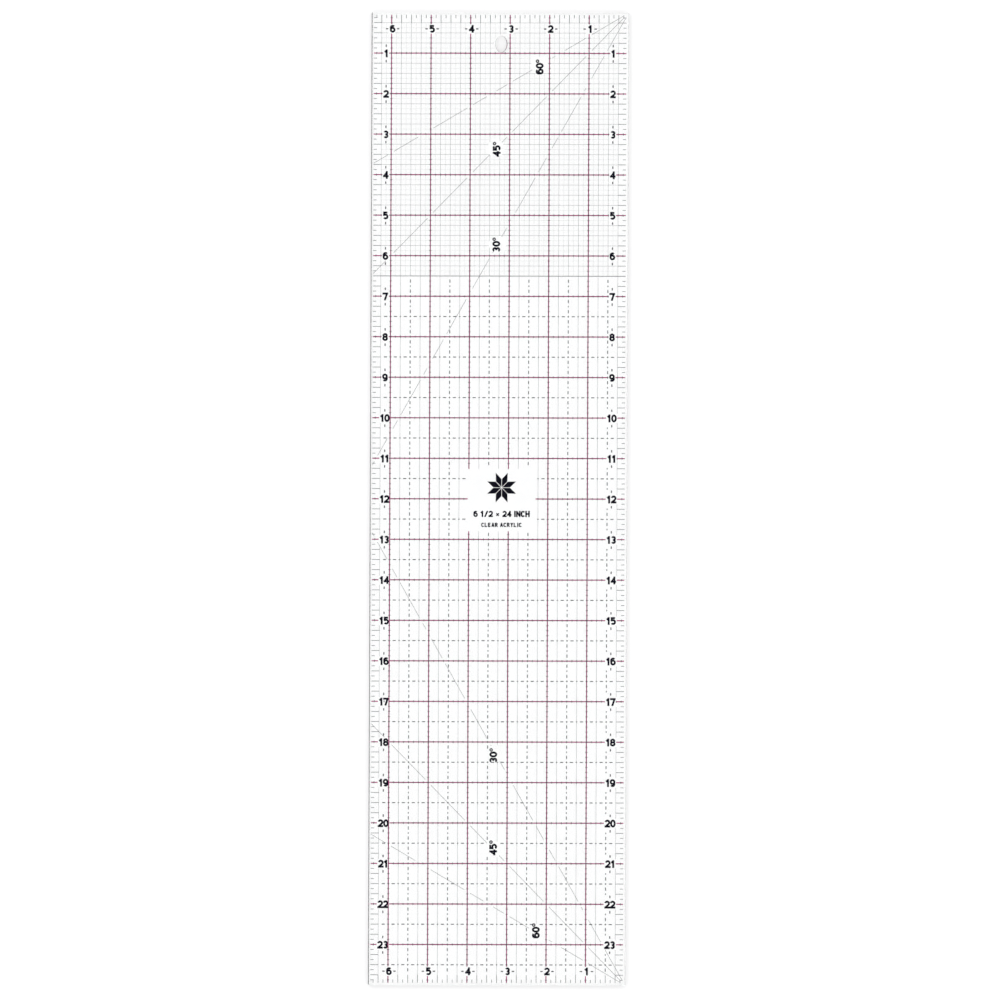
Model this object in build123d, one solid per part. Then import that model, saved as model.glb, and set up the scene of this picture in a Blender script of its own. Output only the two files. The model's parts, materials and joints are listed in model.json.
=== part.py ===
from build123d import *
from dataclasses import dataclass
from math import atan2, ceil, cos, degrees, hypot, inf, radians, sin, sqrt, tan
import os

# Clear acrylic quilting ruler, 6 1/2 by 24 inches, lying flat with its printed side down.
# +X points to the zero edge, +Y to the end with the hanging hole, +Z up; the origin is the
# middle of the underside. The print is laid out in inches: u runs in from the zero edge and
# v runs down from the hanging end.

# Driving dimensions, in millimetres unless a comment says inches
INCH = 25.4
WIDE_IN = 6.5  # inches
LONG_IN = 24.0  # inches
THICK = 3.0
CORNER_R = 0.6
TOP_EDGE_R = 0.15
LIP_HIGH = 0.08  # bead that the laser leaves around the underside
LIP_WIDE = 0.5

HOLE_U, HOLE_V = 3.23, 0.775  # inches
HOLE_WIDE = 7.4
HOLE_LONG = 10.4

FILM = 0.015  # one pass of printing ink
MARGIN_IN = 0.055  # inches from the cut edge to the print
BLOCK_IN = 6.5  # inches, end of the finely divided block
BORDER_IN = 0.25  # inches, border that holds the edge ticks

INCH_LINE = 0.66
BLOCK_LINE = 0.36
QUARTER_LINE = 0.13
HALF_LINE = 0.56
TICK_LINE = 0.30
SLANT_LINE = 0.20

SHORT_TICK_IN = 0.135  # inches, reach of an eighth-inch tick from the edge
DASH_IN, DOT_IN, DASH_PITCH_IN = 0.078, 0.036, 0.25  # inches

FIGURE_HIGH = 4.9
LABEL_HIGH = 5.0
LEFT_COLUMN_IN = 6.135  # inches, centre of the figures beside the left edge
RIGHT_COLUMN_IN = 0.39
TOP_ROW_IN = 0.40
BOTTOM_ROW_IN = LONG_IN - 0.34
END_SHIFT_IN = 0.025  # inches, figures at an end sit this much nearer to the zero edge
FIGURE_LIFT_IN = -0.008  # inches, figures beside a line sit this much towards the hanging end

SLANTS = {30: 3.30, 45: 3.35, 60: 2.25}  # degrees from the long edge: label's u in inches
SLANT_START_IN = 0.16  # inches, the slanted lines fade out short of the corner
SLANT_GAP_IN = 0.07  # inches, half the break where a slanted line meets an inch line
LABEL_R_IN = 0.215  # inches, cleared disc behind an angle label

WIDE = WIDE_IN * INCH
LONG = LONG_IN * INCH

# Printed layers, counted down from the acrylic. The black is printed first, so that it shows
# over the crimson through the sheet, and lines that cross are in layers of their own.
BLACK_LENGTHWISE, BLACK_CROSSWISE, BLACK_SLANTED, CRIMSON_LENGTHWISE, CRIMSON_CROSSWISE = range(1, 6)

WHOLE_COLUMNS = range(1, int(WIDE_IN) + 1)
WHOLE_ROWS = range(1, int(LONG_IN))


# Cleared patches, where the lines stop for a figure, a label, the hole or the emblem

@dataclass
class Patch:
    u: float
    v: float
    half_u: float
    half_v: float
    is_round: bool = False


def covered(start, heading, patch):
    """Stretch of a line, in inches from its start, that lies inside a patch, or None."""
    away = (patch.u - start[0], patch.v - start[1])
    halves = (patch.half_u, patch.half_v)
    if patch.is_round:
        p = [-away[i] / halves[i] for i in (0, 1)]
        q = [heading[i] / halves[i] for i in (0, 1)]
        a = q[0] ** 2 + q[1] ** 2
        b = p[0] * q[0] + p[1] * q[1]
        root = b * b - a * (p[0] ** 2 + p[1] ** 2 - 1)
        if root <= 0:
            return None
        return ((-b - sqrt(root)) / a, (-b + sqrt(root)) / a)
    near, far = -inf, inf
    for i in (0, 1):
        if abs(heading[i]) < 1e-9:
            if abs(away[i]) > halves[i]:
                return None
            continue
        ends = sorted((away[i] + side * halves[i]) / heading[i] for side in (-1, 1))
        near = max(near, ends[0])
        far = min(far, ends[1])
    return (near, far) if near < far else None


def direction(start, end):
    length = hypot(end[0] - start[0], end[1] - start[1])
    return length, ((end[0] - start[0]) / length, (end[1] - start[1]) / length)


def stretches(start, end, patches, breaks=()):
    """Parts of a line that stay printed once the patches and the extra breaks are taken out."""
    length, heading = direction(start, end)
    gaps = [covered(start, heading, patch) for patch in patches]
    gaps = sorted([gap for gap in gaps if gap] + list(breaks))
    left, kept = 0.0, []
    for near, far in gaps:
        if near > left:
            kept.append((left, min(near, length)))
        left = max(left, far)
    if left < length:
        kept.append((left, length))
    return [(near, far) for near, far in kept if far - near > 0.02 and near < length]


# Printed bars and signs

def place(u, v):
    return WIDE / 2 - u * INCH, LONG / 2 - v * INCH


def layer_top(layer):
    return LIP_HIGH - (layer - 1) * FILM


def bar(start, heading, near, far, width, layer):
    """One straight bar of ink along a line, between two distances in inches."""
    middle = (near + far) / 2
    x, y = place(start[0] + heading[0] * middle, start[1] + heading[1] * middle)
    turn = degrees(atan2(-heading[1], -heading[0]))
    solid = Box((far - near) * INCH, width, FILM)
    return Pos(x, y, layer_top(layer) - FILM / 2) * Rot(Z=turn) * solid


def line(start, end, width, layer, patches=(), breaks=()):
    heading = direction(start, end)[1]
    kept = stretches(start, end, patches, breaks)
    return [bar(start, heading, near, far, width, layer) for near, far in kept]


def dash_dot(start, end, width, layer, patches):
    """A dash-and-dot line: each dot is on a quarter inch and each dash half-way to the next."""
    length, heading = direction(start, end)
    solids = []
    for step in range(ceil(length / DASH_PITCH_IN)):
        for centre, mark in ((0.0, DOT_IN), (DASH_PITCH_IN / 2, DASH_IN)):
            near = step * DASH_PITCH_IN + centre - mark / 2
            far = near + mark
            gaps = [covered(start, heading, patch) for patch in patches]
            clear = all(far < gap[0] or near > gap[1] for gap in gaps if gap)
            if clear and near > 0 and far < length:
                solids.append(bar(start, heading, near, far, width, layer))
    return solids


def sign_strokes(sign, a, b, s):
    """One bold sign of stroke s, whose centre lines fill a box 2a wide and 2b high."""

    def stroke(*points, wide=s):
        return trace(Polyline(*points), wide)

    def bow(x, y, r, start, size):
        return trace(CenterArc((x, y), r, start, size), s)

    def oval(x, y, half_x, half_y):
        outer = Ellipse(half_x + s / 2, half_y + s / 2)
        return Pos(x, y) * (outer - Ellipse(half_x - s / 2, half_y - s / 2))

    end = b + s / 2  # butt ends reach the full height
    if sign == "0":
        return oval(0, 0, a, b)
    if sign == "1":
        flag = stroke((0.25 * a, b), (-0.8 * a, 0.42 * b))
        return stroke((0.25 * a, -end), (0.25 * a, end)) + flag
    if sign == "2":
        hook = bow(0, b - a, a, -38, 203)
        foot = (a * cos(radians(-38)), b - a + a * sin(radians(-38)))
        return hook + stroke(foot, (-a, -b)) + stroke((-a - s / 2, -b), (a + s / 2, -b))
    if sign == "3":
        upper = bow(0, b / 2, b / 2, -90, 245)
        lower = bow(0, -b / 2, b / 2, 90, -245)
        return upper + lower + stroke((-0.35 * a, 0), (0.1 * a, 0))
    if sign == "4":
        stem = stroke((0.55 * a, -end), (0.55 * a, end))
        shelf = stroke((-a - s / 2, -0.42 * b), (a + s / 2, -0.42 * b))
        return stem + shelf + stroke((0.55 * a, b), (-a, -0.42 * b), wide=0.75 * s)
    if sign == "5":
        bowl = bow(0, a - b, a, 140, -285)
        neck = stroke((-0.72 * a, b), (-0.9 * a, -0.12 * b))
        return bowl + neck + stroke((-0.8 * a - s / 2, b), (a, b))
    if sign in "69":
        back = stroke((-a, a - b), (-a, b - a)) + bow(0, b - a, a, 180, -140)
        six = oval(0, a - b, a, a) + back
        return six if sign == "6" else Rot(Z=180) * six
    if sign == "7":
        return stroke((-a - s / 2, b), (a + s / 2, b)) + stroke((0.9 * a, b), (-0.3 * a, -end))
    if sign == "8":
        return oval(0, 0.52 * b, 0.86 * a, 0.48 * b) + oval(0, -0.46 * b, a, 0.54 * b)
    if sign == "°":
        return Pos(-0.15 * a, b - 0.4 * a) * (Circle(0.92 * a) - Circle(0.32 * a))
    if sign == "x":
        rise = trace(Polyline((-0.85 * a, -1.25 * a), (0.85 * a, 0.45 * a)), 0.75 * s)
        return rise + trace(Polyline((-0.85 * a, 0.45 * a), (0.85 * a, -1.25 * a)), 0.75 * s)
    if sign == "/":
        return stroke((-0.9 * a, -end), (0.9 * a, end))
    if sign == "A":
        bridge = stroke((-0.6 * a, -0.4 * b), (0.6 * a, -0.4 * b))
        return stroke((-a, -end), (0, end)) + stroke((0, end), (a, -end)) + bridge
    if sign == "C":
        side = stroke((-a, a - b), (-a, b - a))
        return side + bow(0, b - a, a, 180, -150) + bow(0, a - b, a, 180, 150)
    if sign == "E":
        spine = stroke((-a, -end), (-a, end))
        arms = stroke((-a, b), (0.9 * a, b)) + stroke((-a, -b), (0.9 * a, -b))
        return spine + arms + stroke((-a, 0), (0.7 * a, 0))
    if sign == "H":
        return stroke((-a, -end), (-a, end)) + stroke((a, -end), (a, end)) + stroke((-a, 0), (a, 0))
    if sign == "I":
        return stroke((0, -end), (0, end))
    if sign == "L":
        return stroke((-a, end), (-a, -b)) + stroke((-a - s / 2, -b), (0.9 * a, -b))
    if sign == "N":
        return stroke((-a, -end), (-a, end)) + stroke((a, -end), (a, end)) + stroke((-a, b), (a, -b))
    if sign == "R":
        bowl = bow(0, b / 2, b / 2, 90, -180) + stroke((-a, b), (0, b)) + stroke((-a, 0), (0, 0))
        return stroke((-a, -end), (-a, end)) + bowl + stroke((0, 0), (a, -end))
    if sign == "Y":
        return stroke((-a, end), (0, 0)) + stroke((a, end), (0, 0)) + stroke((0, 0.1 * b), (0, -end))
    raise ValueError(f"no shape for {sign!r}")


STROKE_SHARE = 0.25  # of the height of a sign
HALF_WIDE_SHARE = 0.24
ADVANCE_SHARE = {"1": 0.58, "I": 0.33, " ": 0.34, "°": 0.50, "/": 0.70, "x": 0.72}
USUAL_ADVANCE = 0.72
made_signs = {}


def sign_solid(sign, high):
    """The film of one sign, cut square at its top and bottom, made once for each height."""
    if (sign, high) not in made_signs:
        s = STROKE_SHARE * high
        a = HALF_WIDE_SHARE * high
        face = sign_strokes(sign, a, (high - s) / 2, s)
        for side in (-1, 1):
            face -= Pos(0, side * high) * Rectangle(3 * high, high)
        made_signs[sign, high] = extrude(face, FILM)
    return made_signs[sign, high]


def lettering(text, high, u, v, turn=0, spacing=0.0):
    """A centred line of signs, in the first layer; turn is in degrees anticlockwise."""
    advances = [(ADVANCE_SHARE.get(sign, USUAL_ADVANCE) + spacing) * high for sign in text]
    x, y = place(u, v)
    base = Pos(x, y, layer_top(BLACK_LENGTHWISE) - FILM) * Rot(Z=turn)
    left, solids = -sum(advances) / 2, []
    for sign, advance in zip(text, advances):
        if sign != " ":
            spot = base * Pos(left + advance / 2, 0)
            solids += [spot * solid for solid in sign_solid(sign, high).solids()]
        left += advance
    return solids


def text_half_in(text, high=FIGURE_HIGH):
    return sum(ADVANCE_SHARE.get(sign, USUAL_ADVANCE) for sign in text) * high / INCH / 2


# Where the figures and labels go, and the patches that they clear

COLUMNS = {"left": LEFT_COLUMN_IN, "right": RIGHT_COLUMN_IN}
ROWS = {"top": TOP_ROW_IN, "bottom": BOTTOM_ROW_IN}
FIGURE_HALF_IN = FIGURE_HIGH / 2 / INCH
CLEAR_IN = 0.02  # inches of clear acrylic around a figure

side_patches = [
    Patch(u, row - FIGURE_LIFT_IN, text_half_in(str(row)) + CLEAR_IN, FIGURE_HALF_IN + CLEAR_IN)
    for u in COLUMNS.values()
    for row in WHOLE_ROWS
]
end_patches = [
    Patch(column, v, text_half_in(str(column)) + CLEAR_IN, FIGURE_HALF_IN + CLEAR_IN)
    for v in ROWS.values()
    for column in WHOLE_COLUMNS
]


def label_spots():
    """(angle, u, v) of every angle label; the labels sit on their lines, mirrored at each end."""
    for angle, u in SLANTS.items():
        v = u / tan(radians(angle))
        yield angle, u, v
        yield angle, u, LONG_IN - v


label_patches = [Patch(u, v, LABEL_R_IN, LABEL_R_IN, True) for _, u, v in label_spots()]
hole_patch = Patch(HOLE_U, HOLE_V, HOLE_WIDE / 2 / INCH + 0.03, HOLE_LONG / 2 / INCH + 0.03, True)
mark_patch = Patch(3.17, 12.03, 0.86, 0.77)
all_patches = side_patches + end_patches + label_patches + [hole_patch, mark_patch]
inch_row_patches = side_patches + label_patches + [mark_patch]


# The acrylic sheet

def acrylic_sheet():
    sheet = extrude(RectangleRounded(WIDE, LONG, CORNER_R), THICK)
    sheet = fillet(sheet.faces().sort_by(Axis.Z)[-1].edges(), TOP_EDGE_R)
    inner_r = max(CORNER_R - LIP_WIDE, 0.1)
    sheet -= extrude(RectangleRounded(WIDE - 2 * LIP_WIDE, LONG - 2 * LIP_WIDE, inner_r), LIP_HIGH)
    hole = extrude(Ellipse(HOLE_WIDE / 2, HOLE_LONG / 2), THICK)
    x, y = place(HOLE_U, HOLE_V)
    return sheet - Pos(x, y) * hole


# The printed lines

far_u = WIDE_IN - MARGIN_IN
far_v = LONG_IN - MARGIN_IN
inner_u = (BORDER_IN, WIDE_IN - BORDER_IN)
inner_v = (BORDER_IN, LONG_IN - BORDER_IN)


def quarters(first, last):
    """Quarter inches between two limits, both included."""
    return [n / 4 for n in range(round(first * 4), round(last * 4) + 1)]


def inch_lines_lengthwise():
    patches = end_patches + [mark_patch]
    return [
        solid
        for u in WHOLE_COLUMNS
        for solid in line((u, MARGIN_IN), (u, far_v), INCH_LINE, CRIMSON_LENGTHWISE, patches)
    ]


def inch_lines_crosswise():
    return [
        solid
        for v in WHOLE_ROWS
        for solid in line((MARGIN_IN, v), (far_u, v), INCH_LINE, CRIMSON_CROSSWISE, inch_row_patches)
    ]


def block_end_line():
    return line((MARGIN_IN, BLOCK_IN), (far_u, BLOCK_IN), BLOCK_LINE, BLACK_CROSSWISE)


def fine_block_lengthwise():
    return [
        solid
        for u in quarters(*inner_u)
        if u % 1
        for solid in line((u, BORDER_IN), (u, BLOCK_IN), QUARTER_LINE, BLACK_LENGTHWISE, all_patches)
    ]


def fine_block_crosswise():
    return [
        solid
        for v in quarters(BORDER_IN, BLOCK_IN - 0.25)
        if v % 1
        for solid in line((inner_u[0], v), (inner_u[1], v), QUARTER_LINE, BLACK_CROSSWISE, all_patches)
    ]


def long_block_lengthwise():
    return [
        solid
        for u in quarters(*inner_u)
        if u % 0.5
        for solid in line((u, BLOCK_IN), (u, inner_v[1]), QUARTER_LINE, BLACK_LENGTHWISE, all_patches)
    ]


def half_inch_dashes_lengthwise():
    return [
        solid
        for u in quarters(0.5, WIDE_IN - 1)
        if u % 1 == 0.5
        for solid in dash_dot((u, BLOCK_IN), (u, inner_v[1]), HALF_LINE, BLACK_LENGTHWISE, all_patches)
    ]


def half_inch_dashes_crosswise():
    return [
        solid
        for v in quarters(BLOCK_IN + 1, LONG_IN - 0.5)
        if v % 1 == 0.5
        for solid in dash_dot((inner_u[0], v), (inner_u[1], v), HALF_LINE, BLACK_CROSSWISE, all_patches)
    ]


def tick_reach(n):
    """Reach in inches of the tick on the nth eighth of an inch; whole inches have no tick."""
    if n % 8 == 0:
        return None
    return BORDER_IN if n % 2 == 0 else SHORT_TICK_IN


def side_ticks(left):
    solids = []
    for n in range(1, int(LONG_IN * 8)):
        reach = tick_reach(n)
        if reach and n / 8 != BLOCK_IN:
            ends = [MARGIN_IN, reach]
            if left:
                ends = [WIDE_IN - end for end in ends]
            solids += line((ends[0], n / 8), (ends[1], n / 8), TICK_LINE, BLACK_CROSSWISE)
    return solids


def end_ticks(bottom):
    solids = []
    for n in range(1, int(WIDE_IN * 8)):
        reach = tick_reach(n)
        if reach:
            ends = [MARGIN_IN, reach]
            if bottom:
                ends = [LONG_IN - end for end in ends]
            solids += line((n / 8, ends[0]), (n / 8, ends[1]), TICK_LINE, BLACK_LENGTHWISE)
    return solids


def slanted_lines(angle):
    """The two lines at this angle to the long edge, one from each corner of the zero edge."""
    solids = []
    for from_bottom in (False, True):
        lead = (sin(radians(angle)), cos(radians(angle)))
        length = far_u / lead[0]
        start = (0.0, LONG_IN if from_bottom else 0.0)
        heading = (lead[0], -lead[1] if from_bottom else lead[1])
        end = (start[0] + heading[0] * length, start[1] + heading[1] * length)
        breaks = [(0.0, SLANT_START_IN)]
        for axis in (0, 1):
            for whole in range(1, ceil(length * lead[axis])):
                meet = whole / lead[axis]
                gap = SLANT_GAP_IN / lead[axis]
                breaks.append((meet - gap, meet + gap))
        solids += line(start, end, SLANT_LINE, BLACK_SLANTED, all_patches, breaks)
    return solids


# Figures and labels

def side_figures(side):
    u = COLUMNS[side]
    return [
        solid
        for row in WHOLE_ROWS
        for solid in lettering(str(row), FIGURE_HIGH, u, row - FIGURE_LIFT_IN)
    ]


def end_figures(end):
    v = ROWS[end]
    return [
        solid
        for column in WHOLE_COLUMNS
        for solid in lettering(str(column), FIGURE_HIGH, column - END_SHIFT_IN, v)
    ]


FIGURE_DASH_IN = 0.06  # inches long
FIGURE_DASH = 0.70
SIDE_DASH_AT_IN = 0.19  # inches above and below a side figure
END_DASH_AT_IN = 0.14  # inches to each side of an end figure


def figure_dashes():
    """The short dashes above and below each side figure, and beside each end figure."""
    solids = []
    half = FIGURE_DASH_IN / 2
    for u in COLUMNS.values():
        for row in WHOLE_ROWS:
            for at in (-SIDE_DASH_AT_IN, SIDE_DASH_AT_IN):
                v = row - FIGURE_LIFT_IN + at
                solids += line((u, v - half), (u, v + half), FIGURE_DASH, BLACK_LENGTHWISE)
    for v in ROWS.values():
        for column in WHOLE_COLUMNS:
            for at in (-END_DASH_AT_IN, END_DASH_AT_IN):
                u = column - END_SHIFT_IN + at
                solids += line((u - half, v), (u + half, v), FIGURE_DASH, BLACK_LENGTHWISE)
    return solids


# How far each label sits off the middle of its cleared disc, in inches: at the top, at the bottom
LABEL_OFF = {
    30: ((0.03, 0.01), (0.055, 0.045)),
    45: ((-0.02, 0.015), (0.0, -0.045)),
    60: ((0.0, 0.03), (0.01, -0.05)),
}


def angle_labels():
    solids = []
    for angle, u, v in label_spots():
        off_u, off_v = LABEL_OFF[angle][v > LONG_IN / 2]
        solids += lettering(f"{angle}°", LABEL_HIGH, u + off_u, v + off_v, turn=90)
    return solids


# A plain patchwork star and the ruler's size, in the cleared patch in the middle

STAR_V = 11.72  # inches
STAR_R = 10.0
SIZE_HIGH = 3.9
SIZE_V = 12.37
NOTE_HIGH = 2.7
NOTE_V = 12.64


def star_emblem():
    """An eight-pointed star pieced from diamonds, each a separate film with a seam between."""
    inner = STAR_R / (2 * cos(radians(22.5)))
    seam = 0.35
    diamond = Polyline(
        (seam, 0),
        (inner * cos(radians(22.5)), inner * sin(radians(22.5)) - seam / 2),
        (STAR_R, 0),
        (inner * cos(radians(22.5)), seam / 2 - inner * sin(radians(22.5))),
        close=True,
    )
    film = extrude(make_face(diamond), FILM)
    x, y = place(mark_patch.u, STAR_V)
    base = Pos(x, y, layer_top(BLACK_LENGTHWISE) - FILM)
    return [base * Rot(Z=22.5 + 45 * n) * film for n in range(8)]


def size_lettering():
    size = lettering("6 1/2 x 24 INCH", SIZE_HIGH, mark_patch.u, SIZE_V, spacing=0.04)
    return size + lettering("CLEAR ACRYLIC", NOTE_HIGH, mark_patch.u, NOTE_V, spacing=0.09)


nodes = {
    "acrylic_sheet": [acrylic_sheet()],
    "inch_lines_lengthwise": inch_lines_lengthwise(),
    "inch_lines_crosswise": inch_lines_crosswise(),
    "block_end_line": block_end_line(),
    "fine_block_lines_lengthwise": fine_block_lengthwise(),
    "fine_block_lines_crosswise": fine_block_crosswise(),
    "long_block_lines_lengthwise": long_block_lengthwise(),
    "half_inch_dashes_lengthwise": half_inch_dashes_lengthwise(),
    "half_inch_dashes_crosswise": half_inch_dashes_crosswise(),
    "edge_ticks_left": side_ticks(left=True),
    "edge_ticks_right": side_ticks(left=False),
    "edge_ticks_top": end_ticks(bottom=False),
    "edge_ticks_bottom": end_ticks(bottom=True),
    "figures_left": side_figures("left"),
    "figures_right": side_figures("right"),
    "figures_top": end_figures("top"),
    "figures_bottom": end_figures("bottom"),
    "figure_dashes": figure_dashes(),
    "angle_lines_30": slanted_lines(30),
    "angle_lines_45": slanted_lines(45),
    "angle_lines_60": slanted_lines(60),
    "angle_labels": angle_labels(),
    "star_emblem": star_emblem(),
    "size_lettering": size_lettering(),
}

os.makedirs("parts", exist_ok=True)
for name, pieces in nodes.items():
    solids = [solid for piece in pieces for solid in piece.solids()]
    shape = solids[0] if len(solids) == 1 else Compound(solids)
    export_step(shape, f"parts/{name}.step")
    print(name, len(solids))
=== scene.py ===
# %% [markdown]
# # A clear acrylic quilting ruler
# A quilting ruler is one sheet of clear cast acrylic, cut by laser and printed on its underside,
# so that the marks touch the cloth and can be read without parallax. The CAD model already holds
# every printed mark as a thin film of ink at its true inch, and the sheet with its oval hanging
# hole. This lesson gives that model its looks: real clear acrylic with a laser-cut rim, screen
# printing ink with its grain, and the finest marks, which repeat by the thousand.

# %% Load the CAD model as a fixed frame
import json
import math
import bpy
from mathutils import Matrix, Vector


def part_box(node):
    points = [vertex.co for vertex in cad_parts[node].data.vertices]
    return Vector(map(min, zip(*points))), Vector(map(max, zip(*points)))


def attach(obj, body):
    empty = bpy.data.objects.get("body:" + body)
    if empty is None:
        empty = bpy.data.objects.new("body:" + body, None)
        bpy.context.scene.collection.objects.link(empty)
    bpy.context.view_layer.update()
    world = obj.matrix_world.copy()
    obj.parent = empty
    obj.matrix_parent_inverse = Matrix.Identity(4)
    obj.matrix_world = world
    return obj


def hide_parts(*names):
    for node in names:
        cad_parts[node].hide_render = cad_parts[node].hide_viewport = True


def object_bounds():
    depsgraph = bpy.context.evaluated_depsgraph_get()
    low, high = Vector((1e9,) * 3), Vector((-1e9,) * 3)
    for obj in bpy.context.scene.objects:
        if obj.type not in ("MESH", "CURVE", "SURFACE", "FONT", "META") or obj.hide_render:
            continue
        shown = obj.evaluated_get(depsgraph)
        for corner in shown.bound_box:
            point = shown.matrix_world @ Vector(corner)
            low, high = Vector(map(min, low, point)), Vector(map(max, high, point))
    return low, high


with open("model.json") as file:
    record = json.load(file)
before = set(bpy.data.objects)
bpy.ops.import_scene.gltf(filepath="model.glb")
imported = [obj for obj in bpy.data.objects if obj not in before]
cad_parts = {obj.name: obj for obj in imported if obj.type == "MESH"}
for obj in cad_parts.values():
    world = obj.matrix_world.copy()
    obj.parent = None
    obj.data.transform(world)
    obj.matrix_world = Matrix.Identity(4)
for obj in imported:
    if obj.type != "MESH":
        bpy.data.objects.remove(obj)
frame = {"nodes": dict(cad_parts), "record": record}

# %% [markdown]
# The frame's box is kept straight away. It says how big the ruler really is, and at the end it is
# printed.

CAD_LOW, CAD_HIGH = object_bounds()
WIDE = CAD_HIGH.x - CAD_LOW.x
LONG = CAD_HIGH.y - CAD_LOW.y
THICK = CAD_HIGH.z - CAD_LOW.z
MM = 0.001
INCH = 25.4 * MM
print(f"the ruler is {WIDE / INCH:.2f} by {LONG / INCH:.2f} inches and {THICK / MM:.1f} mm thick")

# %% [markdown]
# Marks on a ruler are counted in inches from two edges: `across` runs in from the zero edge, on
# the +X side, and `down` runs from the end with the hanging hole. One small function turns such
# a pair into metres in the model's own frame, so that every later cell can speak in inches.

# %% From inches to a place on the sheet
def place(across, down, height=0.0):
    """The point that lies so many inches in from the zero edge and down from the top end."""
    return Vector((CAD_HIGH.x - across * INCH, CAD_HIGH.y - down * INCH, height))


print("one inch in from both edges:", [round(value, 4) for value in place(1, 1)])

# %% [markdown]
# Materials and Geometry Nodes are both trees of nodes joined by links. Two helpers keep the later
# cells short. The first adds a node and fills its inputs, either with a constant or with a link
# from another node. The second adds one Math node and hands back its result.

# %% Helpers for node trees
def add_node(tree, kind, inputs=None, **options):
    """Adds a node, sets its options, then fills its inputs by name or by number."""
    node = tree.nodes.new(kind)
    for name, value in options.items():
        setattr(node, name, value)
    for name, value in (inputs or {}).items():
        if isinstance(value, bpy.types.NodeSocket):
            tree.links.new(value, node.inputs[name])
        else:
            node.inputs[name].default_value = value
    return node


def calculate(tree, operation, *values):
    """One Math node on numbers or on other nodes' results."""
    inputs = dict(enumerate(values))
    return add_node(tree, "ShaderNodeMath", inputs, operation=operation).outputs[0]


# %% [markdown]
# ## Camera
# A ruler is a flat thing, and any lens close by would spread its nearer inches. An orthographic
# camera has no perspective at all, so an inch is as long at the bottom as it is at the top. The
# camera leans towards the left edge, which narrows the sheet a little and shows a thread of the
# cut rim there. The lean isn't quite square to the long edge, and the camera is rolled by a
# fraction of a degree, as a sheet laid by hand never lies perfectly straight.

# %% Point an orthographic camera down at the sheet
VIEW_HIGH = 0.62688  # metres of the sheet's length that the view takes in
DISTANCE = 1.0
LEAN = math.radians(12.85)
SWING = math.radians(-2.4)
ROLL = math.radians(0.167)
AIM_SHIFT = Vector((0.90 * MM, -0.66 * MM, 0.0))

camera_data = bpy.data.cameras.new("camera")
camera_data.type = "ORTHO"
camera_data.ortho_scale = VIEW_HIGH
camera_data.clip_start = 0.1
camera_data.clip_end = 10.0
camera = bpy.data.objects.new("camera", camera_data)
bpy.context.scene.collection.objects.link(camera)
bpy.context.scene.camera = camera

aim = (CAD_LOW + CAD_HIGH) / 2 + AIM_SHIFT
sideways = Matrix.Rotation(SWING, 4, "Z") @ Matrix.Rotation(-LEAN, 4, "Y")
turn = sideways @ Matrix.Rotation(ROLL - SWING, 4, "Z")
camera.matrix_world = Matrix.Translation(aim) @ turn @ Matrix.Translation((0.0, 0.0, DISTANCE))
print(f"the camera sees {VIEW_HIGH:.3f} m and leans {math.degrees(LEAN):.1f} degrees")

# %% [markdown]
# ## Light
# Clear acrylic has hardly a colour of its own: what is seen is what it reflects and what lies
# behind it. So the room matters more than the lamps. The sky is a studio tent: grey near the
# horizon, so that the sheet seen from the side doesn't drown in glare, a broad bright band above,
# and a dark crown overhead, like the black card that a photographer hangs over the lens, which
# keeps the black figures black under the gloss. Below the horizon it is white like the table.
# The ramp's positions are heights on a unit sphere: 0 at the horizon and 1 straight above.

# %% A studio tent as the world
BELOW_LIGHT = 1.06
HORIZON_LIGHT = 0.68
BAND_LIGHT = 1.46
CROWN_LIGHT = 0.05


def studio_tent():
    world = bpy.data.worlds.new("studio_tent")
    world.use_nodes = True
    tree = world.node_tree
    direction = add_node(tree, "ShaderNodeTexCoord").outputs["Generated"]
    height = add_node(tree, "ShaderNodeSeparateXYZ", {"Vector": direction}).outputs["Z"]
    ramp = add_node(tree, "ShaderNodeValToRGB", {"Fac": height})
    steps = ramp.color_ramp.elements
    bands = (
        (0.0, BELOW_LIGHT),
        (0.005, HORIZON_LIGHT),
        (0.32, HORIZON_LIGHT),
        (0.46, BAND_LIGHT),
        (0.86, BAND_LIGHT),
        (0.94, CROWN_LIGHT),
    )
    while len(steps) < len(bands):
        steps.new(0.5)
    for step, (position, light) in zip(steps, bands):
        step.position = position
        step.color = (light, light, light * 1.01, 1.0)
    background = tree.nodes["Background"]
    tree.links.new(ramp.outputs["Color"], background.inputs["Color"])
    return world


bpy.context.scene.world = studio_tent()
bpy.context.scene.view_settings.view_transform = "Standard"
print("the sky runs from", HORIZON_LIGHT, "at the horizon to", CROWN_LIGHT, "overhead")

# %% [markdown]
# Cycles blurs every gloss that it meets after a diffuse bounce, to save noise. Under a clear
# sheet that turns the acrylic to frosted glass for the light on its way to the table, and the
# white below comes out grey. With the filter at zero the light goes straight through.

# %% Let light through the clear sheet
bpy.context.scene.cycles.blur_glossy = 0.0

# %% [markdown]
# One softbox on the left gives the light a direction, so that seen from the side the rim and the
# grain of the ink have a light and a dark flank. It is large and weak, and its shadow is soft.

# %% A softbox on the left
SOFTBOX_SIDE = 1.0
SOFTBOX_WATTS = 14.0
SOFTBOX_AT = Vector((-1.9, 1.1, 1.9))

softbox_data = bpy.data.lights.new("softbox", "AREA")
softbox_data.shape = "SQUARE"
softbox_data.size = SOFTBOX_SIDE
softbox_data.energy = SOFTBOX_WATTS
softbox = bpy.data.objects.new("softbox", softbox_data)
softbox.location = SOFTBOX_AT
softbox.rotation_euler = (aim - SOFTBOX_AT).to_track_quat("-Z", "Y").to_euler()
bpy.context.scene.collection.objects.link(softbox)
print(f"the softbox is {(SOFTBOX_AT - aim).length:.1f} m from the ruler")

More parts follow.
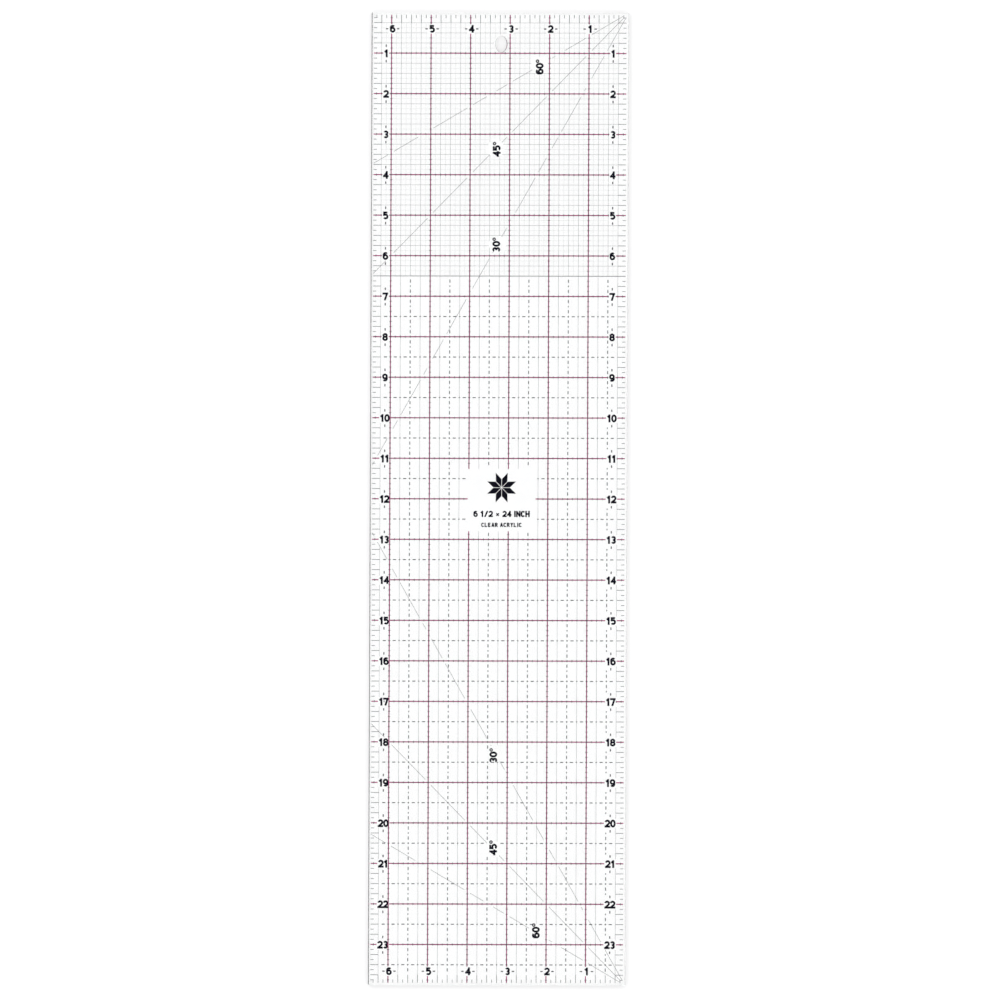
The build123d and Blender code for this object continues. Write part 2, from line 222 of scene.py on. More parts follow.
# %% [markdown]
# ## Floor
# The ruler lies on a white light table, an opal panel that glows a little and reflects the rest.
# The glow fills the shadows under the clear sheet, so that its rim draws only a thin line. The
# table top is a hair below the sheet's underside, because two surfaces in exactly the same plane
# would flicker where they meet.

# %% Lay a white light table
FLOOR_SIDE = 60.0
FLOOR_GAP = 0.08 * MM
FLOOR_WHITE = (0.42, 0.42, 0.42, 1.0)
FLOOR_GLOW = 0.59
FLOOR_ROUGHNESS = 0.8
FLOOR_GLOSS = 0.1


def white_floor():
    half = FLOOR_SIDE / 2
    level = CAD_LOW.z - FLOOR_GAP
    signs = ((-1, -1), (1, -1), (1, 1), (-1, 1))
    corners = [(half * x, half * y, level) for x, y in signs]
    mesh = bpy.data.meshes.new("floor")
    mesh.from_pydata(corners, [], [(0, 1, 2, 3)])
    paint = bpy.data.materials.new("white_table")
    paint.use_nodes = True
    shader = paint.node_tree.nodes["Principled BSDF"]
    shader.inputs["Base Color"].default_value = FLOOR_WHITE
    shader.inputs["Emission Color"].default_value = (1.0, 1.0, 1.0, 1.0)
    shader.inputs["Emission Strength"].default_value = FLOOR_GLOW
    shader.inputs["Roughness"].default_value = FLOOR_ROUGHNESS
    shader.inputs["Specular IOR Level"].default_value = FLOOR_GLOSS
    mesh.materials.append(paint)
    floor = bpy.data.objects.new("floor", mesh)
    bpy.context.scene.collection.objects.link(floor)
    return floor


floor = white_floor()
print("the floor lies", FLOOR_GAP / MM, "mm below the sheet")

# %% [markdown]
# ## Clear acrylic
# Cast acrylic bends light a little less than window glass, with an index of 1.491, and is as
# clear as water through its thickness. Only along the sheet does the light travel far enough to
# pick up the faint green-grey of the material, so that colour is put in the volume, not on the
# surface. A used ruler also has smudges, seen as patches that are a little less glossy, and
# hairline scratches from the cutter's blade. Both are too shallow to model, so they are
# drawn by nodes: smudges drive the roughness, and scratches drive a very low bump.

# %% Acrylic as a material
ACRYLIC_INDEX = 1.491
CLEAR_TINT = (0.996, 0.996, 0.995, 1.0)
DEPTH_TINT = (0.72, 0.93, 0.88, 1.0)
DEPTH_DENSITY = 3.0  # per metre


def clear_material(name, tint):
    """A new transparent material, its tree, its shader and its Object coordinates."""
    material = bpy.data.materials.new(name)
    material.use_nodes = True
    tree = material.node_tree
    shader = tree.nodes["Principled BSDF"]
    shader.inputs["Base Color"].default_value = tint
    shader.inputs["Transmission Weight"].default_value = 1.0
    shader.inputs["IOR"].default_value = ACRYLIC_INDEX
    depth = add_node(tree, "ShaderNodeVolumeAbsorption")
    depth.inputs["Color"].default_value = DEPTH_TINT
    depth.inputs["Density"].default_value = DEPTH_DENSITY
    tree.links.new(depth.outputs["Volume"], tree.nodes["Material Output"].inputs["Volume"])
    coordinates = add_node(tree, "ShaderNodeTexCoord").outputs["Object"]
    return material, tree, shader, coordinates


# %% [markdown]
# A scratch is long and thin. A Voronoi pattern stretched thirty times along one direction has
# cells shaped like needles, and the thin borders between them, cut off sharply, look like fine
# straight scratches. Two sets, turned to different angles, cross each other.

# %% The polished faces of the sheet
SMUDGE_PER_M = 28.0
SCRATCH_PER_M = 60.0
SCRATCH_STRETCH = 30.0
SCRATCH_SHARPNESS = 0.02
SCRATCH_ANGLES = (74.0, 12.0)  # degrees
SCRATCH_DEEP = 0.8e-6
SCRATCH_STRENGTH = 0.5
SCRATCHED_ABOVE = 0.56  # scratches show only where the smudge noise is higher than this
SMUDGE_RANGE = (0.42, 0.70)
SMUDGE_ROUGHNESS = (0.02, 0.07)


def scratch_set(tree, coordinates, angle):
    """1 on hairlines that run at this angle, 0 between them."""
    turned = add_node(tree, "ShaderNodeMapping", {"Vector": coordinates})
    turned.inputs["Rotation"].default_value = (0.0, 0.0, math.radians(angle))
    turned.inputs["Scale"].default_value = (1.0, SCRATCH_STRETCH, 1.0)
    cells = add_node(
        tree,
        "ShaderNodeTexVoronoi",
        {"Vector": turned.outputs["Vector"], "Scale": SCRATCH_PER_M},
        feature="DISTANCE_TO_EDGE",
    )
    hairline = add_node(tree, "ShaderNodeMapRange", {"Value": cells.outputs["Distance"]})
    hairline.inputs["From Max"].default_value = SCRATCH_SHARPNESS
    hairline.inputs["To Min"].default_value = 1.0
    hairline.inputs["To Max"].default_value = 0.0
    return hairline.outputs["Result"]


def polished_acrylic():
    material, tree, shader, coordinates = clear_material("polished_acrylic", CLEAR_TINT)
    smudge = add_node(
        tree, "ShaderNodeTexNoise", {"Vector": coordinates, "Scale": SMUDGE_PER_M, "Detail": 4.0}
    ).outputs["Fac"]
    patchy = add_node(tree, "ShaderNodeMapRange", {"Value": smudge})
    patchy.inputs["From Min"].default_value = SMUDGE_RANGE[0]
    patchy.inputs["From Max"].default_value = SMUDGE_RANGE[1]
    patchy.inputs["To Min"].default_value = SMUDGE_ROUGHNESS[0]
    patchy.inputs["To Max"].default_value = SMUDGE_ROUGHNESS[1]
    tree.links.new(patchy.outputs["Result"], shader.inputs["Roughness"])
    steep, shallow = [scratch_set(tree, coordinates, angle) for angle in SCRATCH_ANGLES]
    scratches = calculate(tree, "MAXIMUM", steep, shallow)
    handled = calculate(tree, "GREATER_THAN", smudge, SCRATCHED_ABOVE)
    worn = calculate(tree, "MULTIPLY", scratches, handled)
    groove = add_node(tree, "ShaderNodeBump", {"Height": worn}, invert=True)
    groove.inputs["Distance"].default_value = SCRATCH_DEEP
    groove.inputs["Strength"].default_value = SCRATCH_STRENGTH
    tree.links.new(groove.outputs["Normal"], shader.inputs["Normal"])
    return material


POLISHED_ACRYLIC = polished_acrylic()
print("made", POLISHED_ACRYLIC.name)

# %% [markdown]
# The laser melts its way down through the sheet in pulses, and leaves a rim that is glossy but
# ribbed: fine upright striations, a little rougher near the underside, where the melt drags.
# The nodes stretch a noise along the height, so that each rib runs from face to face.

# %% The laser-cut rim
RIM_TINT = (0.985, 0.993, 0.990, 1.0)
RIB_PER_M = 2600.0
RIB_FLATTEN = 0.06
RIB_DEEP = 6e-6
RIB_STRENGTH = 0.8
RIB_ROUGHNESS = 0.12
DRAG_ROUGHNESS = (0.30, 0.10)  # at the underside, at the top


def laser_cut_acrylic():
    material, tree, shader, coordinates = clear_material("laser_cut_acrylic", RIM_TINT)
    upright = add_node(tree, "ShaderNodeMapping", {"Vector": coordinates})
    upright.inputs["Scale"].default_value = (1.0, 1.0, RIB_FLATTEN)
    ribs = add_node(
        tree,
        "ShaderNodeTexNoise",
        {"Vector": upright.outputs["Vector"], "Scale": RIB_PER_M, "Detail": 2.0},
    ).outputs["Fac"]
    height = add_node(tree, "ShaderNodeSeparateXYZ", {"Vector": coordinates}).outputs["Z"]
    drag = add_node(tree, "ShaderNodeMapRange", {"Value": height})
    drag.inputs["From Max"].default_value = THICK
    drag.inputs["To Min"].default_value = DRAG_ROUGHNESS[0]
    drag.inputs["To Max"].default_value = DRAG_ROUGHNESS[1]
    roughness = calculate(tree, "MULTIPLY_ADD", ribs, RIB_ROUGHNESS, drag.outputs["Result"])
    tree.links.new(roughness, shader.inputs["Roughness"])
    relief = add_node(tree, "ShaderNodeBump", {"Height": ribs})
    relief.inputs["Distance"].default_value = RIB_DEEP
    relief.inputs["Strength"].default_value = RIB_STRENGTH
    tree.links.new(relief.outputs["Normal"], shader.inputs["Normal"])
    return material


LASER_CUT_ACRYLIC = laser_cut_acrylic()
print("made", LASER_CUT_ACRYLIC.name)

# %% [markdown]
# ## The acrylic sheet
# The sheet's shape follows one rule: a profile of the rim goes round an outline. The outline is
# a rectangle with tiny round corners, with the oval hanging hole inside it. The profile is drawn
# once as a short curve: round the slightly softened top edge, then down the cut face. Sweeping it
# is a job for Geometry Nodes, because the same tree makes the outer rim and the hole's wall, and
# every size stays an input that can be changed. The two flat faces are then filled in.

# %% Draw the profile of the rim
TOP_EDGE_R = 0.15 * MM
WALL_STEPS = 4
ROUND_STEPS = 3


def rim_profile():
    """A curve from the top face down, whose X runs out of the sheet and whose Y runs down."""
    wall = THICK - TOP_EDGE_R
    points = []
    for step in range(ROUND_STEPS):
        angle = math.radians(90.0 * step / ROUND_STEPS)
        inset = TOP_EDGE_R * (1 - math.sin(angle))
        points.append((-inset, -wall - TOP_EDGE_R * math.cos(angle)))
    points += [(0.0, wall * (step / WALL_STEPS - 1)) for step in range(WALL_STEPS + 1)]
    curve = bpy.data.curves.new("rim_profile", "CURVE")
    curve.dimensions = "3D"
    spline = curve.splines.new("POLY")
    spline.points.add(len(points) - 1)
    for point, (x, y) in zip(spline.points, points):
        point.co = (x, y, 0.0, 1.0)
    profile = bpy.data.objects.new("rim_profile", curve)
    bpy.context.scene.collection.objects.link(profile)
    return profile


RIM_PROFILE = rim_profile()
print("the profile has", len(RIM_PROFILE.data.splines[0].points), "points")

# %% [markdown]
# A Geometry Nodes tree has named inputs and outputs, its sockets.

# %% Helpers for Geometry Nodes
SOCKET = "NodeSocket"


def new_tree(name, inputs):
    """A Geometry Nodes tree with these inputs and one geometry output."""
    tree = bpy.data.node_groups.new(name, "GeometryNodeTree")
    for label, kind in inputs.items():
        tree.interface.new_socket(label, in_out="INPUT", socket_type=SOCKET + kind)
    tree.interface.new_socket("Piece", in_out="OUTPUT", socket_type=SOCKET + "Geometry")
    return tree, add_node(tree, "NodeGroupInput").outputs


def grow(name, tree, values):
    """Runs the tree with these values and returns its result as an object with a plain mesh."""
    host = bpy.data.objects.new(name, bpy.data.meshes.new(name + "_host"))
    bpy.context.scene.collection.objects.link(host)
    modifier = host.modifiers.new("nodes", "NODES")
    modifier.node_group = tree
    for item in tree.interface.items_tree:
        if item.in_out == "INPUT":
            modifier[item.identifier] = values[item.name]
    depsgraph = bpy.context.evaluated_depsgraph_get()
    mesh = bpy.data.meshes.new_from_object(host.evaluated_get(depsgraph))
    host.modifiers.remove(modifier)
    for number in reversed(range(len(mesh.materials))):
        if mesh.materials[number] is None:
            mesh.materials.pop(index=number)
    host.data = mesh
    mesh.name = name
    return host


# %% [markdown]
# The laser's pulses also leave the outline itself faintly wavy, by about a hundredth of a
# millimetre. The tree moves each point of the outline inwards by a noise, so the ribs are real
# geometry and catch the light by themselves. Then come three steps: sweep the profile, fill the
# loops that are left open at the top and the bottom, and merge all of it into one closed skin.

# %% A tree that cuts a sheet
SHEET_INPUTS = {
    "Wide": "Float",
    "Long": "Float",
    "Thick": "Float",
    "Corner radius": "Float",
    "Hole centre": "Vector",
    "Hole half size": "Vector",
    "Point spacing": "Float",
    "Ripple depth": "Float",
    "Ripples per metre": "Float",
    "Profile": "Object",
    "Face finish": "Material",
    "Rim finish": "Material",
}


CORNER_STEPS = 8
HOLE_STEPS = 128


def outline_nodes(tree, given):
    """The rounded rectangle and the hole, as curves with evenly spaced, rippled points."""
    box = add_node(
        tree,
        "GeometryNodeCurvePrimitiveQuadrilateral",
        {"Width": given["Wide"], "Height": given["Long"]},
    )
    rounded = add_node(
        tree,
        "GeometryNodeFilletCurve",
        {"Curve": box.outputs["Curve"], "Radius": given["Corner radius"], "Count": CORNER_STEPS},
        mode="POLY",
    )
    circle = add_node(
        tree, "GeometryNodeCurvePrimitiveCircle", {"Resolution": HOLE_STEPS, "Radius": 1.0}
    )
    hole = add_node(
        tree,
        "GeometryNodeTransform",
        {
            "Geometry": circle.outputs["Curve"],
            "Translation": given["Hole centre"],
            "Scale": given["Hole half size"],
        },
    )
    turned = add_node(tree, "GeometryNodeReverseCurve", {"Curve": hole.outputs["Geometry"]})
    both = add_node(tree, "GeometryNodeJoinGeometry")
    for curve in (turned.outputs["Curve"], rounded.outputs["Curve"]):
        tree.links.new(curve, both.inputs["Geometry"])
    spaced = add_node(
        tree,
        "GeometryNodeResampleCurve",
        {"Curve": both.outputs["Geometry"], "Length": given["Point spacing"]},
        mode="LENGTH",
    )
    flat = add_node(
        tree, "GeometryNodeSetCurveNormal", {"Curve": spaced.outputs["Curve"]}, mode="Z_UP"
    )
    noise = add_node(
        tree,
        "ShaderNodeTexNoise",
        {
            "Vector": add_node(tree, "GeometryNodeInputPosition").outputs["Position"],
            "Scale": given["Ripples per metre"],
            "Detail": 1.0,
        },
    ).outputs["Fac"]
    deepest = calculate(tree, "MULTIPLY", given["Ripple depth"], -1.0)
    inwards = calculate(tree, "MULTIPLY", noise, deepest)
    shift = add_node(
        tree,
        "ShaderNodeVectorMath",
        {"Vector": add_node(tree, "GeometryNodeInputNormal").outputs["Normal"], "Scale": inwards},
        operation="SCALE",
    )
    rippled = add_node(
        tree,
        "GeometryNodeSetPosition",
        {"Geometry": flat.outputs["Curve"], "Offset": shift.outputs["Vector"]},
    )
    return rippled.outputs["Geometry"]


# %% [markdown]
# An edge of the swept rim that has only one face beside it is open. Those edges, picked above or
# below the middle of the sheet, become curves again and are filled. A filled curve lies flat at
# height zero, so the top one is lifted, and the bottom one is turned over to face down.

# %% Fill the open loops
def lid_nodes(tree, rim, thick, top):
    """The flat face that closes the rim at the top or at the bottom."""
    open_edge = add_node(
        tree,
        "FunctionNodeCompare",
        {
            "A": add_node(tree, "GeometryNodeInputMeshEdgeNeighbors").outputs["Face Count"],
            "B": 1,
        },
        data_type="INT",
        operation="EQUAL",
    )
    position = add_node(tree, "GeometryNodeInputPosition").outputs["Position"]
    height = add_node(tree, "ShaderNodeSeparateXYZ", {"Vector": position}).outputs["Z"]
    side = calculate(
        tree,
        "GREATER_THAN" if top else "LESS_THAN",
        height,
        calculate(tree, "MULTIPLY", thick, 0.5),
    )
    chosen = add_node(
        tree,
        "FunctionNodeBooleanMath",
        {0: open_edge.outputs["Result"], 1: side},
        operation="AND",
    )
    loops = add_node(
        tree, "GeometryNodeMeshToCurve", {"Mesh": rim, "Selection": chosen.outputs["Boolean"]}
    )
    filled = add_node(tree, "GeometryNodeFillCurve", {"Curve": loops.outputs["Curve"]})
    if not top:
        return add_node(
            tree, "GeometryNodeFlipFaces", {"Mesh": filled.outputs["Mesh"]}
        ).outputs["Mesh"]
    lift = add_node(tree, "ShaderNodeCombineXYZ", {"Z": thick})
    raised = add_node(
        tree,
        "GeometryNodeTransform",
        {"Geometry": filled.outputs["Mesh"], "Translation": lift.outputs["Vector"]},
    )
    return raised.outputs["Geometry"]


# %% [markdown]
# Last, the tree gives each face its finish. A face whose normal points straight up or down is a
# polished face and is shaded flat; all the others belong to the rim and are shaded smooth.

# %% Put the sheet's tree together
WELD = 0.0005 * MM
LEVEL_ABOVE = 0.999  # a face whose normal is more upright than this is shaded flat
RIM_BELOW = 0.5  # a face whose normal is less upright than this belongs to the rim


def sheet_tree():
    tree, given = new_tree("laser_cut_sheet", SHEET_INPUTS)
    profile = add_node(tree, "GeometryNodeObjectInfo", {"Object": given["Profile"]})
    rim = add_node(
        tree,
        "GeometryNodeCurveToMesh",
        {"Curve": outline_nodes(tree, given), "Profile Curve": profile.outputs["Geometry"]},
    ).outputs["Mesh"]
    skin = add_node(tree, "GeometryNodeJoinGeometry")
    upper_face = lid_nodes(tree, rim, given["Thick"], True)
    lower_face = lid_nodes(tree, rim, given["Thick"], False)
    for part in (rim, upper_face, lower_face):
        tree.links.new(part, skin.inputs["Geometry"])
    welded = add_node(
        tree,
        "GeometryNodeMergeByDistance",
        {"Geometry": skin.outputs["Geometry"], "Distance": WELD},
    )
    normal = add_node(tree, "GeometryNodeInputNormal").outputs["Normal"]
    height = add_node(tree, "ShaderNodeSeparateXYZ", {"Vector": normal}).outputs["Z"]
    upright = calculate(tree, "ABSOLUTE", height)
    steep = calculate(tree, "LESS_THAN", upright, LEVEL_ABOVE)
    shaded = add_node(
        tree,
        "GeometryNodeSetShadeSmooth",
        {"Geometry": welded.outputs["Geometry"], "Shade Smooth": steep},
    )
    real = add_node(tree, "GeometryNodeRealizeInstances", {"Geometry": shaded.outputs["Geometry"]})
    faces = add_node(
        tree,
        "GeometryNodeSetMaterial",
        {"Geometry": real.outputs["Geometry"], "Material": given["Face finish"]},
    )
    cut = calculate(tree, "LESS_THAN", upright, RIM_BELOW)
    rims = add_node(
        tree,
        "GeometryNodeSetMaterial",
        {"Geometry": faces.outputs["Geometry"], "Selection": cut, "Material": given["Rim finish"]},
    )
    add_node(tree, "NodeGroupOutput", {"Piece": rims.outputs["Geometry"]})
    return tree


# %% Cut the sheet
CORNER_R = 0.6 * MM
HOLE_WIDE = 7.4 * MM
HOLE_LONG = 10.4 * MM
POINT_SPACING = 0.25 * MM
RIPPLE_DEEP = 0.012 * MM
RIPPLES_PER_M = 2200.0


def hole_centre():
    """The hanging hole's place, as the record gives it."""
    mount = next(m for m in frame["record"]["mounts"] if m["name"] == "hanging_hole")
    x, y, _ = mount["pos_m"]
    return (x, y, 0.0)


acrylic = grow(
    "acrylic",
    sheet_tree(),
    {
        "Wide": WIDE,
        "Long": LONG,
        "Thick": THICK,
        "Corner radius": CORNER_R,
        "Hole centre": hole_centre(),
        "Hole half size": (HOLE_WIDE / 2, HOLE_LONG / 2, 1.0),
        "Point spacing": POINT_SPACING,
        "Ripple depth": RIPPLE_DEEP,
        "Ripples per metre": RIPPLES_PER_M,
        "Profile": RIM_PROFILE,
        "Face finish": POLISHED_ACRYLIC,
        "Rim finish": LASER_CUT_ACRYLIC,
    },
)
bpy.data.objects.remove(RIM_PROFILE)
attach(acrylic, "root")
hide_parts("acrylic_sheet")
print("the sheet has", len(acrylic.data.polygons), "faces")
print("its finishes are", [material.name for material in acrylic.data.materials])

# %% [markdown]
# ## Printing ink
# Screen printing pushes thick ink through a fine mesh. Up close the film isn't even: its density
# drifts over a few millimetres, it has pinholes where the mesh let less ink through, and its
# surface keeps the orange-peel of the mesh. One function makes all three inks, because only the
# two colours differ: the full film and the thin film that shows in the pinholes.

# %% Ink as a material
DRIFT_PER_M = 170.0
PINHOLES_PER_M = 7000.0
PEEL_PER_M = 9000.0
PEEL_DEEP = 3e-6
PEEL_STRENGTH = 0.5
DRIFT_SHARE = 0.35
PINHOLE_RANGE = (0.60, 0.72)
INK_ROUGHNESS = 0.40
INK_ROUGHNESS_DRIFT = 0.2
INK_GLOSS = 0.04


def printing_ink(name, full, thin):
    material = bpy.data.materials.new(name)
    material.use_nodes = True
    tree = material.node_tree
    shader = tree.nodes["Principled BSDF"]
    coordinates = add_node(tree, "ShaderNodeTexCoord").outputs["Object"]
    drift = add_node(
        tree, "ShaderNodeTexNoise", {"Vector": coordinates, "Scale": DRIFT_PER_M, "Detail": 3.0}
    ).outputs["Fac"]
    grain = add_node(
        tree, "ShaderNodeTexNoise", {"Vector": coordinates, "Scale": PINHOLES_PER_M, "Detail": 1.0}
    ).outputs["Fac"]
    pinhole = add_node(tree, "ShaderNodeMapRange", {"Value": grain})
    pinhole.inputs["From Min"].default_value = PINHOLE_RANGE[0]
    pinhole.inputs["From Max"].default_value = PINHOLE_RANGE[1]
    thinness = calculate(tree, "MULTIPLY_ADD", drift, DRIFT_SHARE, pinhole.outputs["Result"])
    colour = add_node(tree, "ShaderNodeMix", {"Factor": thinness}, data_type="RGBA")
    for socket, value in (("A", full), ("B", thin)):
        named = [i for i in colour.inputs if i.name == socket and i.type == "RGBA"]
        named[0].default_value = value
    result = [o for o in colour.outputs if o.type == "RGBA"][0]
    tree.links.new(result, shader.inputs["Base Color"])
    roughness = calculate(tree, "MULTIPLY_ADD", drift, INK_ROUGHNESS_DRIFT, INK_ROUGHNESS)
    tree.links.new(roughness, shader.inputs["Roughness"])
    shader.inputs["Specular IOR Level"].default_value = INK_GLOSS
    peel = add_node(
        tree, "ShaderNodeTexNoise", {"Vector": coordinates, "Scale": PEEL_PER_M, "Detail": 0.0}
    ).outputs["Fac"]
    relief = add_node(tree, "ShaderNodeBump", {"Height": peel})
    relief.inputs["Distance"].default_value = PEEL_DEEP
    relief.inputs["Strength"].default_value = PEEL_STRENGTH
    tree.links.new(relief.outputs["Normal"], shader.inputs["Normal"])
    return material


INKS = {
    "crimson_ink": printing_ink("crimson_ink", (0.46, 0.03, 0.18, 1.0), (0.60, 0.18, 0.34, 1.0)),
    "grey_ink": printing_ink("grey_ink", (0.06, 0.06, 0.07, 1.0), (0.22, 0.22, 0.24, 1.0)),
    "black_ink": printing_ink("black_ink", (0.003, 0.002, 0.010, 1.0), (0.02, 0.02, 0.04, 1.0)),
}
print("inks:", ", ".join(INKS))

# %% [markdown]
# The record says which finish each CAD node takes, so no list of nodes is needed here: every
# printed node has its slot named, and the slot's name picks the ink.

# %% Ink the printed nodes
def ink_the_print():
    counts = dict.fromkeys(INKS, 0)
    for part in frame["record"]["subparts"]:
        ink = part["material_slot"]
        if ink in INKS:
            for slot in frame["nodes"][part["node"]].material_slots:
                slot.material = INKS[ink]
            counts[ink] += 1
    return counts


print("nodes inked:", ink_the_print())

# %% [markdown]
# ## Marks that repeat by the thousand
# Two kinds of mark are too small and too many to draw one by one. In the finely divided block,
# hair-thin lines stand on every odd eighth of an inch. And every inch line carries a tiny cross
# tick on each eighth, which is what makes it look beaded. Both are the same thing to Geometry
# Nodes: one small bar of ink, copied to the points of a lattice, except where the sheet is kept
# clear for a figure, an angle label, the hole or the emblem.

# %% A tree that prints marks on a lattice
LATTICE_INPUTS = {
    "Columns": "Int",
    "Rows": "Int",
    "Column pitch": "Float",
    "Row pitch": "Float",
    "First mark": "Vector",
    "Mark size": "Vector",
    "Keep clear": "Object",
    "Clearance": "Float",
    "Ink": "Material",
}


def lattice_nodes(tree, given):
    """The points of the lattice: a row of points, copied to each point of a column."""
    across = add_node(tree, "ShaderNodeCombineXYZ", {"X": given["Column pitch"]})
    down = add_node(
        tree, "ShaderNodeCombineXYZ", {"Y": calculate(tree, "MULTIPLY", given["Row pitch"], -1.0)}
    )
    columns = add_node(
        tree,
        "GeometryNodeMeshLine",
        {
            "Count": given["Columns"],
            "Start Location": given["First mark"],
            "Offset": across.outputs["Vector"],
        },
    )
    rows = add_node(
        tree,
        "GeometryNodeMeshLine",
        {"Count": given["Rows"], "Offset": down.outputs["Vector"]},
    )
    copies = add_node(
        tree,
        "GeometryNodeInstanceOnPoints",
        {"Points": columns.outputs["Mesh"], "Instance": rows.outputs["Mesh"]},
    )
    return add_node(
        tree, "GeometryNodeRealizeInstances", {"Geometry": copies.outputs["Instances"]}
    ).outputs["Geometry"]


def lattice_tree():
    tree, given = new_tree("marks_on_a_lattice", LATTICE_INPUTS)
    kept_clear = add_node(tree, "GeometryNodeObjectInfo", {"Object": given["Keep clear"]})
    gap = add_node(
        tree,
        "GeometryNodeProximity",
        {"Geometry": kept_clear.outputs["Geometry"]},
        target_element="FACES",
    )
    too_near = add_node(
        tree,
        "FunctionNodeCompare",
        {"A": gap.outputs["Distance"], "B": given["Clearance"]},
        operation="LESS_THAN",
    )
    points = add_node(
        tree,
        "GeometryNodeDeleteGeometry",
        {"Geometry": lattice_nodes(tree, given), "Selection": too_near.outputs["Result"]},
    )
    mark = add_node(tree, "GeometryNodeMeshCube", {"Size": given["Mark size"]})
    marks = add_node(
        tree,
        "GeometryNodeInstanceOnPoints",
        {"Points": points.outputs["Geometry"], "Instance": mark.outputs["Mesh"]},
    )
    real = add_node(tree, "GeometryNodeRealizeInstances", {"Geometry": marks.outputs["Instances"]})
    inked = add_node(
        tree,
        "GeometryNodeSetMaterial",
        {"Geometry": real.outputs["Geometry"], "Material": given["Ink"]},
    )
    add_node(tree, "NodeGroupOutput", {"Piece": inked.outputs["Geometry"]})
    return tree


LATTICE = lattice_tree()
print("the lattice tree has", len(LATTICE.nodes), "nodes")

# %% [markdown]
# The tree measures each point's distance to one helper object, a stencil of everything that the
# marks must keep away from. It holds copies of the printed figures, and a plain plate for each
# cleared patch. The stencil is thrown away once the marks are made.

# %% The stencil of what is kept clear
FIGURE_NODES = ("figures_left", "figures_right", "figures_top", "figures_bottom")
LABELS = {30: 3.30, 45: 3.35, 60: 2.25}  # degrees from the long edge: inches across
LABEL_R_IN = 0.215
EMBLEM_IN = (3.17, 12.03, 0.86, 0.77)  # across, down, half wide, half high
PLATE_SIDES = 32


def plate(centre, half_wide, half_long, sides=PLATE_SIDES):
    """The corners of a flat oval plate, or of a rectangle when it has four sides."""
    start = math.radians(45.0) if sides == 4 else 0.0
    stretch = math.sqrt(2.0) if sides == 4 else 1.0
    corners = []
    for n in range(sides):
        angle = start + math.tau * n / sides
        x = centre.x + half_wide * stretch * math.cos(angle)
        y = centre.y + half_long * stretch * math.sin(angle)
        corners.append((x, y, centre.z))
    return corners


def stencil(level):
    plates = []
    for angle, across in LABELS.items():
        down = across / math.tan(math.radians(angle))
        for distance_down in (down, LONG / INCH - down):
            spot = place(across, distance_down, level)
            plates.append(plate(spot, LABEL_R_IN * INCH, LABEL_R_IN * INCH))
    x, y, _ = hole_centre()
    plates.append(plate(Vector((x, y, level)), HOLE_WIDE / 2, HOLE_LONG / 2))
    across, down, half_wide, half_high = EMBLEM_IN
    plates.append(plate(place(across, down, level), half_wide * INCH, half_high * INCH, sides=4))
    points = [corner for corners in plates for corner in corners]
    faces = []
    first = 0
    for corners in plates:
        faces.append(tuple(range(first, first + len(corners))))
        first += len(corners)
    for name in FIGURE_NODES:
        mesh = frame["nodes"][name].data
        points += [(v.co.x, v.co.y, level) for v in mesh.vertices]
        flat = [p for p in mesh.polygons if abs(p.normal.z) > 0.5]
        faces += [tuple(first + i for i in p.vertices) for p in flat]
        first += len(mesh.vertices)
    mesh = bpy.data.meshes.new("stencil")
    mesh.from_pydata(points, [], faces)
    helper = bpy.data.objects.new("stencil", mesh)
    bpy.context.scene.collection.objects.link(helper)
    return helper


# %% [markdown]
# Ink that crosses other ink lies in a layer of its own, just below or above it. The CAD nodes
# show where: marks that run along the ruler share the layer of the quarter-inch lines that run
# along it, and marks that run across share the layer of the crosswise ones. They are made a
# touch thinner than the layer, so that no two faces lie in exactly one plane.

# %% Heights of the two layers
LAYER_SKIN = 0.001 * MM


def layer_of(node):
    """The middle height and the thickness of the printed layer that a CAD node lies in."""
    low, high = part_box(node)
    return (low.z + high.z) / 2, high.z - low.z - 2 * LAYER_SKIN


ALONG_LEVEL, FILM = layer_of("fine_block_lines_lengthwise")
ACROSS_LEVEL, _ = layer_of("fine_block_lines_crosswise")
STENCIL = stencil(ALONG_LEVEL)
print(f"layers at {ALONG_LEVEL / MM:.4f} and {ACROSS_LEVEL / MM:.4f} mm, film {FILM / MM:.4f} mm")

# %% [markdown]
# The hair-thin lines are laid as short bars, an eighth of an inch long, end to end. Short bars
# let the tree drop just the ones that would run into a figure. They stand on the odd eighths,
# so both pitches are an eighth along the line and a quarter from line to line.

# %% Hairlines on the odd eighths
EIGHTH = INCH / 8
BORDER_IN = 0.25
BLOCK_IN = 6.5
HAIR_WIDE = 0.05 * MM
HAIR_CLEARANCE = 1.5 * MM


def print_marks(name, ink_slot, values):
    """Grows one field of marks and makes it a piece of the ruler."""
    values.update({"Keep clear": STENCIL, "Ink": INKS[ink_slot]})
    marks = grow(name, LATTICE, values)
    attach(marks, "root")
    print(name, "has", len(marks.data.polygons) // 6, "marks")
    return marks


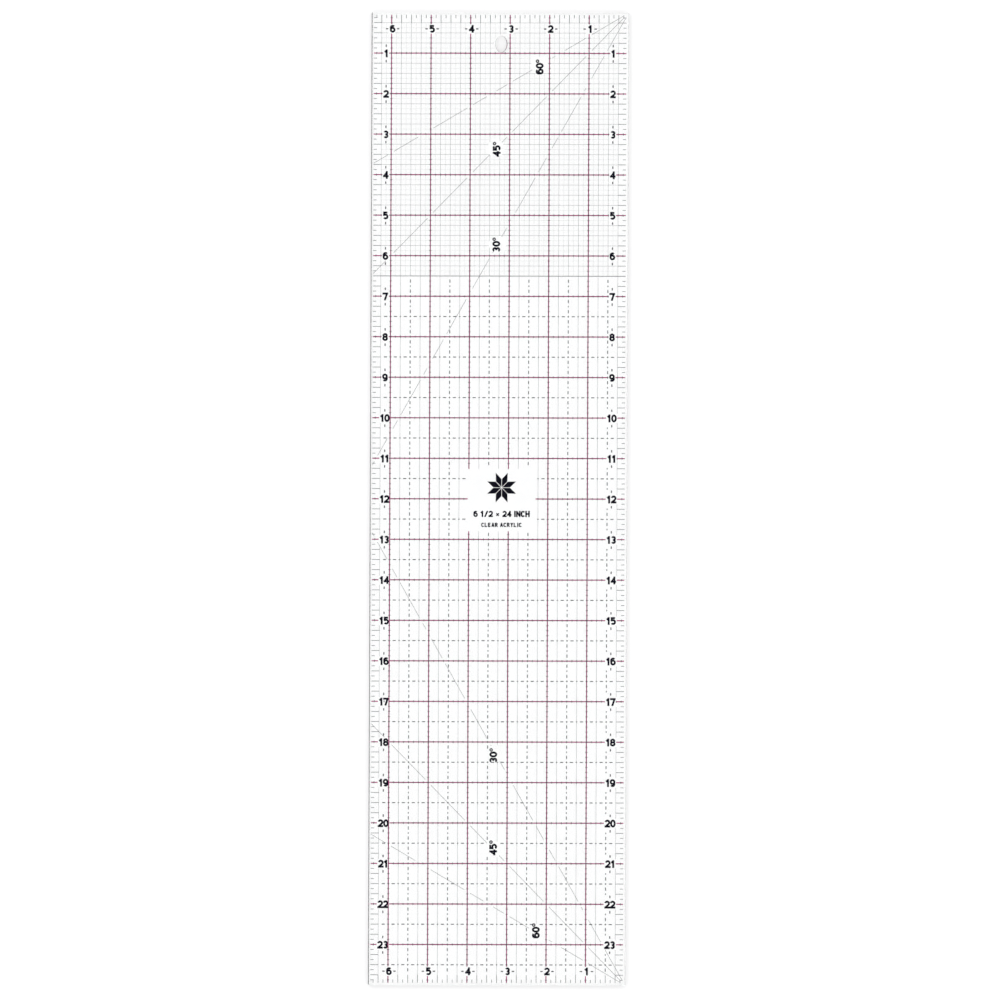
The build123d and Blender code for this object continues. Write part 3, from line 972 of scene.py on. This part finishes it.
hair_lines = round((WIDE / INCH - 2 * BORDER_IN) * 4)
hair_rows = round((BLOCK_IN - BORDER_IN) * 4)
print_marks(
    "eighth_hairlines_lengthwise",
    "grey_ink",
    {
        "Columns": hair_lines,
        "Rows": hair_rows * 2,
        "Column pitch": 2 * EIGHTH,
        "Row pitch": EIGHTH,
        "First mark": place(WIDE / INCH - BORDER_IN - 0.125, BORDER_IN + 0.0625, ALONG_LEVEL),
        "Mark size": (HAIR_WIDE, EIGHTH, FILM),
        "Clearance": HAIR_CLEARANCE,
    },
)
print_marks(
    "eighth_hairlines_crosswise",
    "grey_ink",
    {
        "Columns": hair_lines * 2,
        "Rows": hair_rows,
        "Column pitch": EIGHTH,
        "Row pitch": 2 * EIGHTH,
        "First mark": place(WIDE / INCH - BORDER_IN - 0.0625, BORDER_IN + 0.125, ACROSS_LEVEL),
        "Mark size": (EIGHTH, HAIR_WIDE, FILM),
        "Clearance": HAIR_CLEARANCE,
    },
)

# %% [markdown]
# The cross ticks are the other way round: each stands square across its inch line, about twice as
# long as the crimson is wide, and there is one on every eighth of an inch from end to end.

# %% Cross ticks on the inch lines
TICK_THIN = 0.45 * MM
TICK_LONG = 1.30 * MM
TICK_CLEARANCE = 0.9 * MM

print_marks(
    "cross_ticks_on_lengthwise_lines",
    "grey_ink",
    {
        "Columns": int(WIDE / INCH),
        "Rows": round(LONG / EIGHTH) - 1,
        "Column pitch": INCH,
        "Row pitch": EIGHTH,
        "First mark": place(int(WIDE / INCH), 0.125, ACROSS_LEVEL),
        "Mark size": (TICK_LONG, TICK_THIN, FILM),
        "Clearance": TICK_CLEARANCE,
    },
)
print_marks(
    "cross_ticks_on_crosswise_lines",
    "grey_ink",
    {
        "Columns": round(WIDE / EIGHTH) - 1,
        "Rows": round(LONG / INCH) - 1,
        "Column pitch": EIGHTH,
        "Row pitch": INCH,
        "First mark": place(WIDE / INCH - 0.125, 1, ALONG_LEVEL),
        "Mark size": (TICK_THIN, TICK_LONG, FILM),
        "Clearance": TICK_CLEARANCE,
    },
)
bpy.data.objects.remove(STENCIL)

# %% [markdown]
# ## The CAD box
# The finished pieces are made to fill the same box as the CAD model, and the last line prints the
# CAD box.

# %% Print the CAD box
print("CAD box:", [round(v, 5) for v in (*CAD_LOW, *CAD_HIGH)])
